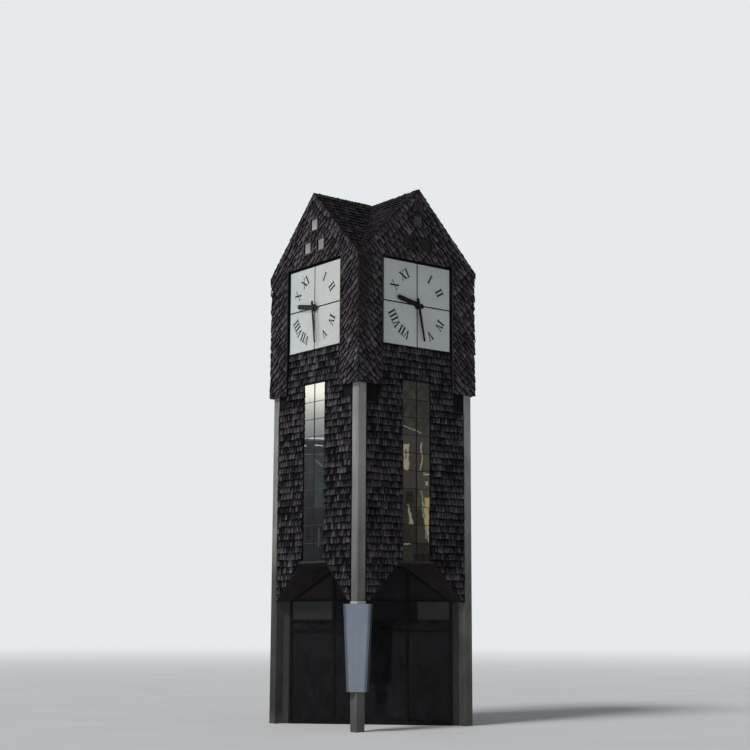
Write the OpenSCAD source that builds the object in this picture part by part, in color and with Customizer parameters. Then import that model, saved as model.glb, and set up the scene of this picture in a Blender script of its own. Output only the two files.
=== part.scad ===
// Shingled clock tower on four corner columns, with a cross-gabled head,
// four square dials and a glazed screen across the porch at its foot.
// Millimetres, +Z up, origin on the ground at the centre of the plan.
// The front faces -Y, the left side -X, the right side +X and the back +Y.

/* [Tower] */
// Width across the corner columns, outer face to outer face
tower_w = 4076; // [3800:2:4400]
// Thickness of the boarded timber walls
wall_t = 150; // [110:5:200]
// Side of each square corner column
column_w = 280; // [240:5:340]
// Bevel on the vertical edges of the columns
column_bevel = 14; // [6:1:24]
// Height of the eaves, where the walls end and the gables begin
plate_z = 12767; // [12600:1:12900]

/* [Porch openings] */
// Height at which the sides of an opening start to lean inwards
spring_z = 3380; // [3000:10:3500]
// Height of the flat top of an opening
opening_top_z = 4390; // [4200:10:4420]
// Width of the ledge between a column and the side of an opening
ledge_w = 118; // [90:2:160]
// Width of the flat top of an opening
opening_top_w = 1300; // [1100:10:1500]
// Thickness of the boards that line the soffits
lining_t = 40; // [20:2:50]
// Thickness of the deck over the porch
deck_t = 50; // [40:5:80]

/* [Tall windows] */
// Width of a tall window over its frame
window_w = 975; // [800:5:1060]
// How far the tall windows reach above the underside of the corner boxes
window_rise = 220; // [100:10:400]
// Face width of the frame of a tall window
frame_w = 40; // [34:1:60]
// Depth of the frame of a tall window
frame_d = 50; // [40:2:90]
// How far the frame sits back from the wall face
frame_setback = 5; // [2:1:40]
// Height of the sill rail at the foot of the frame
sill_h = 52; // [45:1:70]
// Thickness of all panes
glass_t = 10; // [6:1:14]

/* [Head] */
// Height of the corner boxes, from their underside to the eaves
box_h = 3497; // [3400:1:3700]
// How far the corner boxes and gables stand out from the wall
box_t = 70; // [50:2:100]
// How far the bay that holds the dial reaches above the eaves
bay_rise = 163; // [120:1:220]
// Thickness of the gable walls
gable_t = 140; // [110:5:180]
// Size of a gable window over its frame
small_window_w = 400; // [320:5:440]
// Height of the centres of the lower pair of gable windows above the eaves
small_low_rise = 693; // [630:1:780]
// Height of the centre of the upper gable window above the eaves
small_high_rise = 1333; // [1280:1:1400]
// Distance of the lower pair's centres from the middle
small_low_x = 325; // [280:5:360]
// Face width of the frames of the gable windows
small_frame_w = 38; // [25:1:50]
// Depth of the frames of the gable windows
small_frame_d = 70; // [50:2:90]
// How far those frames stand out from the gable
small_frame_proud = 36; // [20:1:44]

/* [Roof] */
// Slope of the roof in degrees
pitch = 45; // [43:0.5:47]
// Vertical thickness of the roof deck and rafters
roof_tv = 140; // [100:5:180]
// How far the roof stands out past the gables
verge = 48; // [36:2:80]
// Width of one side of a ridge cap, measured level
cap_w = 150; // [100:5:220]
// Vertical thickness of a ridge cap
cap_tv = 62; // [40:2:90]

/* [Dials] */
// Side of a square dial
dial_w = 2400; // [2200:10:2480]
// Reveal between a dial and the corner boxes beside it
dial_side_gap = 80; // [60:2:120]
// Reveal between a dial and the top of its bay
dial_top_gap = 67; // [50:1:100]
// Thickness of the tray that backs a dial
tray_t = 12; // [8:1:20]
// Thickness of the four panels of a dial
panel_t = 26; // [16:1:40]
// Gap between the four panels
panel_gap = 38; // [20:1:60]

/* [Hands] */
// Length of a minute hand from the centre to its tip
minute_len = 1050; // [900:5:1150]
// Width of a minute hand beside the hub
minute_w = 88; // [60:1:110]
// Width of a minute hand at its tip
minute_tip_w = 62; // [40:1:80]
// Length of an hour hand from the centre to its tip
hour_len = 765; // [650:5:850]
// Width of an hour hand
hour_w = 134; // [100:1:160]
// Length of the tails behind the centre
tail_len = 195; // [150:5:240]
// Thickness of an hour hand
hour_t = 28; // [12:1:32]
// Thickness of a minute hand
minute_t = 12; // [8:1:16]
// Clear distance from a dial to its hour hand
hour_gap = 40; // [25:1:60]
// Clear distance from an hour hand to its minute hand
minute_gap = 10; // [6:1:20]
// Radius of the arbor of a minute hand
arbor_r = 16; // [12:0.5:20]
// Wall of the sleeve that carries an hour hand
sleeve_wall = 12; // [8:0.5:16]
// Wall of the bush in the middle of a dial
bush_wall = 16; // [10:1:24]
// Running clearance of arbor, sleeve and bush
run_gap = 0.3; // [0.2:0.05:0.5]
// Reading of the front, right and back dials, minute hand, degrees from twelve
minute_deg = 168.5; // [0:0.5:359]
// Reading of the front, right and back dials, hour hand, degrees from twelve
hour_deg = 281.5; // [0:0.5:359]
// Reading of the left dial, minute hand, degrees from twelve
left_minute_deg = 173; // [0:0.5:359]
// Reading of the left dial, hour hand, degrees from twelve
left_hour_deg = 280; // [0:0.5:359]

/* [Screen] */
// Distance of the inner posts of the screen from the middle
inner_post_s = 1050; // [900:10:1200]
// Face width of the posts
post_w = 76; // [60:2:100]
// Face width of the rails
rail_w = 52; // [40:2:70]
// Depth of the posts and rails
screen_d = 80; // [60:2:100]
// Height of the rail at head height
head_rail_z = 2560; // [2400:10:2600]
// Height of the underside of the fascia boards
fascia_bottom_z = 2890; // [2800:10:2950]
// Height of the top of the fascia boards
fascia_top_z = 3400; // [3200:10:3450]
// Thickness of the fascia boards
fascia_t = 30; // [20:1:40]
// Height of the foot rail of the screen
foot_rail_h = 120; // [80:5:200]
// Fitting gap between the screen and the ceiling above it
fit_gap = 0.5; // [0.4:0.1:0.9]

/* [Sign box] */
// Width of the sign box at its top
sign_top_w = 735; // [620:5:800]
// Width of the sign box at its foot
sign_foot_w = 530; // [440:5:600]
// Distance from the column's edges to the front and back of the sign box
sign_face_gap = 17; // [15:1:50]
// Height of the foot of the sign box
sign_foot_z = 1030; // [900:10:1300]
// Thickness of the walls of the sign box
sign_wall = 8; // [6:1:14]
// Height of the collar that closes the top of the sign box
collar_h = 70; // [40:5:100]
// Space left between the column and the plates that clasp it
clasp_gap = 0.3; // [0.2:0.1:1]

/* [Hidden] */

$fn = 64;

// Small overlap of cutting shapes past the faces that they cut
cut = 5;
// Half of the tower's width: the plane of the column and wall faces
half = tower_w / 2;
// Inner side of a column, where a wall starts
wall_x = half - column_w;
// Plane of the outer faces of the corner boxes and gables
head_half = half + box_t;
// Outer edge of the roof
roof_half = head_half + verge;
// Rise of the roof for each unit of run
rise = tan(pitch);
// Height of the roof deck at the ridges
ridge_z = plate_z + roof_tv + head_half * rise;
// Underside of the corner boxes and top of the tall windows
box_bottom_z = plate_z - box_h;
window_top_z = box_bottom_z + window_rise;
// Top and width of the bay between two corner boxes, and the centre of its dial
bay_top_z = plate_z + bay_rise;
bay_w = dial_w + 2 * dial_side_gap;
dial_z = bay_top_z - dial_top_gap - dial_w / 2;
// Half widths of an opening, where its sides start to lean and at its top
spring_x = wall_x - ledge_w;
top_x = opening_top_w / 2;
// Run and height of the leaning sides, and the linings' level thickness
lean_run = spring_x - top_x;
lean_h = opening_top_z - spring_z;
lean_len = norm([lean_run, lean_h]);
lining_level = lining_t * lean_len / lean_h;
// Upper face of the flat lining, on which the windows stand
lining_z = opening_top_z + lining_t;
// Top of the panes' sill rail
pane_foot_z = lining_z + sill_h;
// Front plane of the tall windows
window_y = half - frame_setback;
// Radii of the sleeve and the bush at the centre of a dial
sleeve_in_r = arbor_r + run_gap;
sleeve_r = sleeve_in_r + sleeve_wall;
bush_in_r = sleeve_r + run_gap;
bush_r = bush_in_r + bush_wall;
// Planes of the dial's face and of the backs of the two hands
dial_face = half + tray_t + panel_t;
hour_back = dial_face + hour_gap;
minute_back = hour_back + hour_t + minute_gap;
// Distances from the middle along the screen
screen_end_s = wall_x * sqrt(2);
end_post_s = spring_x * sqrt(2);
// Top of the screen, with a fitting gap under the flat ceiling
screen_top_z = opening_top_z - fit_gap;
// Depth of the sign box, and its top, where the collar that closes it begins
sign_d = column_w * sqrt(2) + 2 * sign_face_gap;
sign_top_z = spring_z - collar_h;

// Half width of an opening at a height, widened level by extra
function lean_x(z, extra = 0) = spring_x + extra - (z - spring_z) * lean_run / lean_h;

// Turns a shape made for the front to side 0 front, 1 right, 2 back or 3 left
module to_side(side) rotate([0, 0, 90 * side]) children();

// Stands a flat outline up in the XZ plane with its front face at -y_face
module upright(y_face, t) translate([0, t - y_face, 0]) rotate([90, 0, 0]) linear_extrude(t) children();

// Plan wedge that belongs to the front, out to the roof's edge
module front_wedge(z0, z1)
    translate([0, 0, z0]) linear_extrude(z1 - z0)
        polygon([[0, 0], [-roof_half - cut, -roof_half - cut], [roof_half + cut, -roof_half - cut]]);

module column(side) color("#b9b6a8") to_side(side)
    linear_extrude(plate_z) polygon([
        [-half + column_bevel, -half], [-wall_x - column_bevel, -half],
        [-wall_x, -half + column_bevel], [-wall_x, -wall_x],
        [-half + column_bevel, -wall_x], [-half, -wall_x - column_bevel],
        [-half, -half + column_bevel]
    ]);

module wall(side) color("#4a4340") to_side(side) upright(half, wall_t) polygon([
    [-wall_x, spring_z], [-lean_x(spring_z, lining_level), spring_z],
    [-lean_x(lining_z, lining_level), lining_z], [-window_w / 2, lining_z],
    [-window_w / 2, window_top_z], [window_w / 2, window_top_z],
    [window_w / 2, lining_z], [lean_x(lining_z, lining_level), lining_z],
    [lean_x(spring_z, lining_level), spring_z], [wall_x, spring_z],
    [wall_x, plate_z], [bay_w / 2, plate_z], [bay_w / 2, bay_top_z],
    [-bay_w / 2, bay_top_z], [-bay_w / 2, plate_z], [-wall_x, plate_z]
]);

module window_frame(side) color("#2d2a28") to_side(side) upright(window_y, frame_d) difference() {
    translate([-window_w / 2, lining_z]) square([window_w, window_top_z - lining_z]);
    for (s = [-1, 1])
        translate([s * (window_w - frame_w) / 4, pane_centre_z()])
            square([pane_w(), pane_h()], center = true);
}

// Size and height of the two lights of a tall window
function pane_w() = (window_w - 3 * frame_w) / 2;
function pane_h() = window_top_z - frame_w - pane_foot_z;
function pane_centre_z() = pane_foot_z + pane_h() / 2;

module tall_window_glass() color("#6d7f86", 0.6) for (side = [0:3]) to_side(side) for (s = [-1, 1])
    upright(window_y - (frame_d - glass_t) / 2, glass_t)
        translate([s * (window_w - frame_w) / 4, pane_centre_z()]) square([pane_w(), pane_h()], center = true);

// Outline of everything outside the leaning side of an opening, up to a height
module lean_outline(extra, top_z) polygon([
    [-half, spring_z], [-lean_x(spring_z, extra), spring_z],
    [-lean_x(top_z, extra), top_z], [-half, top_z]
]);

// The corner left between two openings that cross, outside both leaning sides
module corner_mass(extra, top_z) intersection() {
    upright(half, half) lean_outline(extra, top_z);
    mirror([1, -1, 0]) upright(half, half) lean_outline(extra, top_z);
}

module soffit_linings() color("#3a241c") for (side = [0:3]) to_side(side) {
    difference() {
        corner_mass(0, opening_top_z);
        corner_mass(lining_level, opening_top_z + lean_h);
    }
    for (swap = [0, 1]) mirror([swap, -swap, 0])
        translate([-wall_x, wall_t - half, spring_z])
            cube([wall_x - spring_x, half - wall_t - spring_x, lining_t]);
}

module porch_ceiling() color("#3a241c") {
    for (side = [0, 1]) to_side(side) upright(half, tower_w) polygon([
        [-top_x - lining_level, opening_top_z], [-lean_x(lining_z, lining_level), lining_z],
        [lean_x(lining_z, lining_level), lining_z], [top_x + lining_level, opening_top_z]
    ]);
    for (side = [0, 1]) to_side(side)
        translate([-wall_x, wall_t - half, lining_z]) cube([2 * wall_x, tower_w - 2 * wall_t, deck_t]);
    translate([-top_x, -top_x, opening_top_z]) cube([2 * top_x, 2 * top_x, lining_t + deck_t]);
}

module corner_box(side) color("#3f3936") to_side(side)
    translate([0, 0, box_bottom_z]) linear_extrude(plate_z - box_bottom_z) polygon([
        [-head_half, -head_half], [-bay_w / 2, -head_half], [-bay_w / 2, -half],
        [-half, -half], [-half, -bay_w / 2], [-head_half, -bay_w / 2]
    ]);

// Centres of the three windows of a gable
small_windows = [
    [0, plate_z + small_high_rise],
    [-small_low_x, plate_z + small_low_rise], [small_low_x, plate_z + small_low_rise]
];

module gable(side) color("#443d3a") to_side(side) intersection() {
    upright(head_half, gable_t) difference() {
        polygon([
            [-head_half, plate_z], [-bay_w / 2, plate_z], [-bay_w / 2, bay_top_z],
            [bay_w / 2, bay_top_z], [bay_w / 2, plate_z], [head_half, plate_z],
            [0, ridge_z - roof_tv]
        ]);
        for (c = small_windows) translate(c) square(small_window_w, center = true);
    }
    front_wedge(plate_z - cut, ridge_z);
}

module gable_window_frames() color("#5b5450") for (side = [0:3]) to_side(side)
    upright(head_half + small_frame_proud, small_frame_d) for (c = small_windows) translate(c) difference() {
        square(small_window_w, center = true);
        square(small_window_w - 2 * small_frame_w, center = true);
    }

module gable_window_glass() color("#9aa5a8", 0.6) for (side = [0:3]) to_side(side)
    upright(head_half + small_frame_proud - (small_frame_d - glass_t) / 2, glass_t)
        for (c = small_windows) translate(c) square(small_window_w - 2 * small_frame_w, center = true);

// Inverted V with its point at z, level half width w and vertical thickness tv
module chevron(z, w, tv) polygon([
    [0, z], [w, z - w * rise], [w, z - w * rise - tv], [0, z - tv], [-w, z - w * rise - tv], [-w, z - w * rise]
]);

module gable_roof(side) color("#4b4542") to_side(side) intersection() {
    upright(roof_half, roof_half) chevron(ridge_z, roof_half, roof_tv);
    front_wedge(plate_z - roof_half, ridge_z + cut);
}

module ridge_caps() color("#55584a") for (side = [0:3]) to_side(side) intersection() {
    upright(roof_half, roof_half) chevron(ridge_z + cap_tv, cap_w, cap_tv);
    front_wedge(plate_z, ridge_z + cap_tv + cut);
}

module dial(side) color("#e9edf0") to_side(side) translate([0, 0, dial_z]) {
    upright(half + tray_t, tray_t) difference() {
        square(dial_w, center = true);
        circle(bush_in_r);
    }
    upright(dial_face, panel_t) difference() {
        square(dial_w, center = true);
        square([panel_gap, dial_w + cut], center = true);
        square([dial_w + cut, panel_gap], center = true);
        circle(bush_r);
    }
    upright(dial_face, panel_t) difference() {
        circle(bush_r);
        circle(bush_in_r);
    }
}

// Turns a hand from twelve to its reading, clockwise as seen from outside
module hand_place(side, deg) to_side(side) translate([0, 0, dial_z]) rotate([0, deg, 0]) children();

module hour_hand(side, deg) color("#1d1c1b") hand_place(side, deg) {
    upright(hour_back + hour_t, hour_t) difference() {
        union() {
            translate([0, -tail_len + hour_w / 2]) circle(hour_w / 2);
            translate([-hour_w / 2, -tail_len + hour_w / 2]) square([hour_w, tail_len + hour_len - hour_w]);
            translate([0, hour_len - hour_w / 2]) circle(hour_w / 2, $fn = 8);
        }
        circle(sleeve_in_r);
    }
    upright(hour_back, hour_back - half - run_gap) difference() {
        circle(sleeve_r);
        circle(sleeve_in_r);
    }
}

module minute_hand(side, deg) color("#1d1c1b") hand_place(side, deg) {
    upright(minute_back + minute_t, minute_t) {
        translate([0, -tail_len + minute_w / 2]) circle(minute_w / 2);
        polygon([
            [-minute_w / 2, -tail_len + minute_w / 2], [minute_w / 2, -tail_len + minute_w / 2],
            [minute_w / 2, 0], [minute_tip_w / 2, minute_len - minute_tip_w / 3],
            [minute_tip_w / 4, minute_len], [-minute_tip_w / 4, minute_len],
            [-minute_tip_w / 2, minute_len - minute_tip_w / 3], [-minute_w / 2, 0]
        ]);
    }
    upright(minute_back, minute_back - half - run_gap) circle(arbor_r);
}

// Turns the screen's own line, X along it and Y across it, on to the plan's diagonal
module on_diagonal() rotate([0, 0, -45]) children();

// Where the crossing openings cut the screen's plane: distance along it at a height
function profile_s(z) = lean_x(z) * sqrt(2);

// Level width of a rafter of the screen that leans with the opening
rafter_level = rail_w * norm([lean_run * sqrt(2), lean_h]) / lean_h;

// Outline of the screen, grown level by extra where it leans and where it stands
module screen_outline(lean_extra, side_extra, foot, top) polygon([
    [-end_post_s - side_extra, foot],
    [-end_post_s - side_extra, spring_z + (lean_extra - side_extra) * lean_h / (lean_run * sqrt(2))],
    [-profile_s(top) - lean_extra, top], [profile_s(top) + lean_extra, top],
    [end_post_s + side_extra, spring_z + (lean_extra - side_extra) * lean_h / (lean_run * sqrt(2))],
    [end_post_s + side_extra, foot]
]);

// The inner posts and the rails that cross between them
module screen_bars() {
    for (s = [-1, 1]) translate([s * inner_post_s - post_w / 2, 0]) square([post_w, screen_top_z]);
    for (z = [head_rail_z, fascia_bottom_z - rail_w, fascia_top_z])
        translate([-end_post_s, z]) square([2 * end_post_s, rail_w]);
}

// The glazed and boarded area inside the outer frame
module screen_inside()
    screen_outline(-rafter_level, -post_w, foot_rail_h, screen_top_z - rail_w);

module fascia_strip()
    translate([-end_post_s, fascia_bottom_z]) square([2 * end_post_s, fascia_top_z - fascia_bottom_z]);

module screen_frame() color("#26221f") difference() {
    on_diagonal() upright(screen_d / 2, screen_d) difference() {
        screen_outline(screen_d / 2 + cut, 0, 0, screen_top_z);
        difference() {
            screen_inside();
            screen_bars();
        }
    }
    for (side = [1, 3]) to_side(side) corner_mass(0, opening_top_z + cut);
}

module screen_glass() color("#52626a", 0.6) on_diagonal() upright(glass_t / 2, glass_t) difference() {
    screen_inside();
    screen_bars();
    fascia_strip();
}

module screen_boards() color("#c9ccc4") {
    on_diagonal() upright(fascia_t / 2, fascia_t) intersection() {
        difference() {
            fascia_strip();
            screen_bars();
        }
        screen_inside();
    }
    difference() {
        on_diagonal() upright(fascia_t / 2, fascia_t) for (s = [-1, 1])
            translate([s > 0 ? end_post_s : -screen_end_s - fascia_t / 2, 0])
                square([screen_end_s + fascia_t / 2 - end_post_s, spring_z]);
        for (side = [1, 3]) column(side);
    }
}

// Front outline of the sign box, drawn in by inset on every edge
module sign_outline(inset) polygon([
    [-sign_foot_w / 2 + inset, sign_foot_z + inset], [-sign_top_w / 2 + inset, sign_top_z - inset],
    [sign_top_w / 2 - inset, sign_top_z - inset], [sign_foot_w / 2 - inset, sign_foot_z + inset]
]);

// Square post around the axis of the front left column, from z0 to z1
module around_column(w, z0, z1)
    translate([-half + column_w / 2, -half + column_w / 2, (z0 + z1) / 2]) cube([w, w, z1 - z0], center = true);

module sign_box() color("#dfe7ee") difference() {
    union() {
        on_diagonal() translate([0, -(half - column_w / 2) * sqrt(2), 0]) difference() {
            upright(sign_d / 2, sign_d) sign_outline(0);
            upright(sign_d / 2 - sign_wall, sign_d - 2 * sign_wall) sign_outline(sign_wall);
        }
        around_column(column_w + 2 * (clasp_gap + sign_wall), sign_top_z, sign_top_z + collar_h);
    }
    around_column(column_w + 2 * clasp_gap, sign_foot_z - cut, sign_top_z + collar_h + cut);
}

column(0);  // front_left_column
column(1);  // front_right_column
column(2);  // back_right_column
column(3);  // back_left_column
wall(0);  // front_wall
wall(1);  // right_wall
wall(2);  // back_wall
wall(3);  // left_wall
window_frame(0);  // front_window
window_frame(1);  // right_window
window_frame(2);  // back_window
window_frame(3);  // left_window
tall_window_glass();
soffit_linings();
porch_ceiling();
corner_box(0);  // front_left_box
corner_box(1);  // front_right_box
corner_box(2);  // back_right_box
corner_box(3);  // back_left_box
gable(0);  // front_gable
gable(1);  // right_gable
gable(2);  // back_gable
gable(3);  // left_gable
gable_window_frames();
gable_window_glass();
gable_roof(0);  // front_roof
gable_roof(1);  // right_roof
gable_roof(2);  // back_roof
gable_roof(3);  // left_roof
ridge_caps();
dial(0);  // front_dial
dial(1);  // right_dial
dial(2);  // back_dial
dial(3);  // left_dial
hour_hand(0, hour_deg);  // front_hour_hand
hour_hand(1, hour_deg);  // right_hour_hand
hour_hand(2, hour_deg);  // back_hour_hand
hour_hand(3, left_hour_deg);  // left_hour_hand
minute_hand(0, minute_deg);  // front_minute_hand
minute_hand(1, minute_deg);  // right_minute_hand
minute_hand(2, minute_deg);  // back_minute_hand
minute_hand(3, left_minute_deg);  // left_minute_hand
screen_frame();
screen_glass();
screen_boards();
sign_box();
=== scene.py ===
"""Looks of the shingled clock tower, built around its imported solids.

Metres, +Z up. The front faces -Y, the right side +X, the back +Y and the left side -X. A facade's own
frame has u to the right as seen from outside, z up and c outwards from the tower's axis.
"""
import math
import random

import bmesh
import bpy
import numpy as np
from mathutils import Matrix, Vector


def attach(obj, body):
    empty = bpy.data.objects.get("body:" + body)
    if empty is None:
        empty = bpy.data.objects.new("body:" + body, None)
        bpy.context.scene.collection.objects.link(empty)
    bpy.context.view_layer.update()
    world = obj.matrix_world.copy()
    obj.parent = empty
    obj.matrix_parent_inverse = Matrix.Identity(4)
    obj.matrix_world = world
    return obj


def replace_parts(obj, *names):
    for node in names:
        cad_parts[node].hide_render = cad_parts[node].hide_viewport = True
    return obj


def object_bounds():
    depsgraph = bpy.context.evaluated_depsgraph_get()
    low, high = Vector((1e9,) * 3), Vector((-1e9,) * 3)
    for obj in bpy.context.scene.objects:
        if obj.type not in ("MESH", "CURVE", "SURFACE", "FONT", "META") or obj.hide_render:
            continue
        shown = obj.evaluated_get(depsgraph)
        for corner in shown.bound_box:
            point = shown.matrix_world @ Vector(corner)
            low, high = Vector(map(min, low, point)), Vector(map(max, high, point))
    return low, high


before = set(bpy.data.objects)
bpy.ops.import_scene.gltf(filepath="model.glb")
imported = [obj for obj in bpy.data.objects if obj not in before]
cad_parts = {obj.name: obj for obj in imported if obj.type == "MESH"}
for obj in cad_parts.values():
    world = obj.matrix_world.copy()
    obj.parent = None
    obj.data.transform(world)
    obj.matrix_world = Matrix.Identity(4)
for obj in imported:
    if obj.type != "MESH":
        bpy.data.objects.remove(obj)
cad_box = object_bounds()
scene = bpy.context.scene

SIDES = ("front", "right", "back", "left")
FLANKS = (1, 3)


def reach(name, axis):
    """Where a node begins and ends along x, y or z, to a tenth of a millimetre."""
    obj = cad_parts[name]
    along = [(obj.matrix_world @ v.co)["xyz".index(axis)] for v in obj.data.vertices]
    return round(min(along), 4), round(max(along), 4)


# Half widths and planes of the solids from the tower's axis, and their heights
COLUMN_IN = reach("front_wall", "x")[1]
WALL = -reach("front_wall", "y")[0]
SPRING, BAY_TOP = reach("front_wall", "z")
HEAD = reach("front_gable", "x")[1]
GABLE_TOP = reach("front_gable", "z")[1]
ROOF_EDGE = reach("front_roof", "x")[1]
RIDGE = reach("front_roof", "z")[1]
BAY = -reach("front_left_box", "x")[1]
BOX_FOOT = reach("front_left_box", "z")[0]
WINDOW = reach("front_window", "x")[1]
FRAME_FACE = -reach("front_window", "y")[0]
LINING_TOP, WINDOW_TOP = reach("front_window", "z")
PANE_FOOT, PANE_TOP = reach("tall_window_glass", "z")
DIAL = reach("front_dial", "x")[1]
DIAL_FACE = -reach("front_dial", "y")[0]
DIAL_FOOT, DIAL_TOP = reach("front_dial", "z")
DIAL_Z = round((DIAL_FOOT + DIAL_TOP) / 2, 4)
SMALL_FOOT, SMALL_TOP = reach("gable_window_frames", "z")
SMALL_FACE = reach("gable_window_frames", "x")[1]
SIGN_FOOT, COLLAR_TOP = reach("sign_box", "z")

# Sizes that the nodes' ends don't tell
LEAN = 990 / 1010
LEAN_FOOT = 1.696
SMALL = 0.2
SMALL_APART = 0.325
COLLAR = 0.07
SIGN_FOOT_WIDTH, SIGN_TOP_WIDTH = 0.53, 0.735
PANE_ROWS = 10

# What follows from them
SMALL_WINDOWS = ((0.0, round(SMALL_TOP - SMALL, 4)), (-SMALL_APART, round(SMALL_FOOT + SMALL, 4)),
                 (SMALL_APART, round(SMALL_FOOT + SMALL, 4)))
SIGN_TOP = round(COLLAR_TOP - COLLAR, 4)
PANE = round((PANE_TOP - PANE_FOOT) / PANE_ROWS, 4)
GLASS = round(FRAME_FACE + 0.0035, 4)
CASING = round(WINDOW + 0.0095, 4)

# The dressed tower stays this far within the solids' limits
MARGIN = 0.0005
EDGE = round(cad_box[1][0] - MARGIN, 4)
RIDGE_TOP = round(cad_box[1][2] - MARGIN, 4)

# Places past the edges of the walls, where the outlines of holes end
BEYOND, OVER_BAY, UNDER_HEAD, UNDER_WINDOW = 2.4, 13.0, 9.0, 4.0

# Shingles: the visible height of a course, the mean width, the whole length and the thicknesses
COURSE = 0.19
WIDTH = 0.178
LENGTH = 0.265
BUTT, TIP, BACK = 0.030, 0.005, 0.012

# Areas too small to count: of an overlap, of a rest, of a part beside a hole, and of a whole shingle
NO_OVERLAP, NO_REST, SLIVER, LEAST_SEEN = 1e-7, 1e-6, 3e-4, 4e-4


# Frames

def facade(side):
    """Origin and axes u, z and c of a facade."""
    a = math.radians(90 * side)
    return np.array([[0, 0, 0], [math.cos(a), math.sin(a), 0], [0, 0, 1], [math.sin(a), -math.cos(a), 0]])


def slope(side, right):
    """Origin and axes of a slope of a gable's roof: u level along the ridge, v up the slope, c outwards."""
    s, q = (1 if right else -1), math.sqrt(0.5)
    local = np.array([[0, 0, RIDGE], [0, s, 0], [-s * q, 0, q], [s * q, 0, q]])
    a = math.radians(90 * side)
    turn = np.array([[math.cos(a), -math.sin(a), 0], [math.sin(a), math.cos(a), 0], [0, 0, 1]])
    return local @ turn.T


def to_world(axes, uvc):
    return axes[0] + np.asarray(uvc) @ axes[1:]


# Meshes

class Bag:
    """Collects the loose solids of one piece, with what their material reads at each point."""

    def __init__(self):
        self.co, self.faces, self.shade, self.grain, self.count = [], [], [], [], 0

    def add(self, co, faces, shade, grain):
        self.co.append(np.asarray(co, float))
        self.shade.append(np.broadcast_to(np.asarray(shade, float), (len(co), 3)))
        self.grain.append(np.asarray(grain, float))
        self.faces += [[i + self.count for i in f] for f in faces]
        self.count += len(co)

    def inside(self):
        """Keeps everything within the limits of the solids."""
        for co in self.co:
            co[:, :2] = co[:, :2].clip(-EDGE, EDGE)
            co[:, 2] = np.minimum(co[:, 2], RIDGE_TOP)

    def build(self, name, material, slot):
        self.inside()
        mesh = bpy.data.meshes.new(name)
        mesh.from_pydata(np.concatenate(self.co).tolist(), [], self.faces)
        for key, data in (("shade", self.shade), ("grain", self.grain)):
            attribute = mesh.attributes.new(key, "FLOAT_VECTOR", "POINT")
            attribute.data.foreach_set("vector", np.concatenate(data).astype(np.float32).ravel())
        mesh.materials.append(material)
        mesh.shade_smooth()
        mesh.set_sharp_from_angle(angle=math.radians(35))
        obj = bpy.data.objects.new(name, mesh)
        scene.collection.objects.link(obj)
        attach(obj, "tower")
        return obj


SIGNS = [(x, y, z) for x in (-1, 1) for y in (-1, 1) for z in (-1, 1)]


def box_faces():
    """Faces of a chamfered box over three points at each corner: its sides, its edges and its corners."""
    faces = []
    for i, j, k in ((0, 1, 2), (1, 2, 0), (2, 0, 1)):
        def point(a, b, c, own):
            s = [0, 0, 0]
            s[i], s[j], s[k] = a, b, c
            return 3 * SIGNS.index(tuple(s)) + own

        for a in (-1, 1):
            faces.append([point(a, b, c, i) for b, c in ((-1, -1), (1, -1), (1, 1), (-1, 1))][::a])
        for b, c in ((-1, -1), (-1, 1), (1, -1), (1, 1)):
            edge = [(-1, j), (1, j), (1, k), (-1, k)]
            faces.append([point(a, b, c, own) for a, own in edge][::-b * c])
    return faces + [[3 * n, 3 * n + 1, 3 * n + 2][::x * y * z] for n, (x, y, z) in enumerate(SIGNS)]


BOX_FACES = box_faces()

# Random draws that the boards take one after another
draws = random.Random(7)


def board(bag, axes, lo, hi, chamfer=0.003, tone=None):
    """A sawn board between two corners of a frame. Its grain follows its longest side."""
    lo, hi = np.array(lo, float), np.array(hi, float)
    half = (hi - lo) / 2
    r = min(chamfer, half.min() * 0.6)
    co = (lo + hi) / 2 + np.repeat(SIGNS, 3, 0) * (half - r * (1 - np.tile(np.eye(3), (8, 1))))
    along = int(np.argmax(hi - lo))
    across = [i for i in range(3) if i != along]
    grain = np.stack([co[:, across[0]] + co[:, across[1]], co[:, along], np.zeros(len(co))], 1)
    grain += (draws.uniform(0, 50), draws.uniform(0, 50), 0)
    shade = (draws.random() if tone is None else tone, 0.5, draws.random())
    bag.add(to_world(axes, co), BOX_FACES, shade, grain)


def prism(bag, axes, outline, c0, c1, chamfer):
    """A convex outline in a frame's u and z, drawn out from c0 to c1 with its front edge chamfered."""
    outline = np.array(outline, float)
    if area(outline) < 0:
        outline = outline[::-1]
    n = len(outline)
    before, after = outline - np.roll(outline, 1, 0), np.roll(outline, -1, 0) - outline
    n1, n2 = (np.stack([-d[:, 1], d[:, 0]], 1) / np.linalg.norm(d, axis=1, keepdims=True)
              for d in (before, after))
    inset = outline + chamfer * (n1 + n2) / (1 + (n1 * n2).sum(1, keepdims=True)).clip(0.3)
    rings = [(outline, c0), (outline, c1 - chamfer), (inset, c1)]
    co = np.concatenate([np.column_stack([p, np.full(n, c)]) for p, c in rings])
    faces = [list(range(2 * n, 3 * n)), list(range(n))[::-1]]
    for k in (0, n):
        faces += [[k + i, k + (i + 1) % n, k + n + (i + 1) % n, k + n + i] for i in range(n)]
    bag.add(to_world(axes, co), faces, (0.5, 0.5, 0.5), co)


def area(poly):
    x, y = np.asarray(poly)[:, 0], np.asarray(poly)[:, 1]
    return 0.5 * float(np.dot(x, np.roll(y, -1)) - np.dot(y, np.roll(x, -1)))


# Cutting of outlines

def rect(u0, z0, u1, z1):
    return [(u0, z0), (u1, z0), (u1, z1), (u0, z1)]


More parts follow.
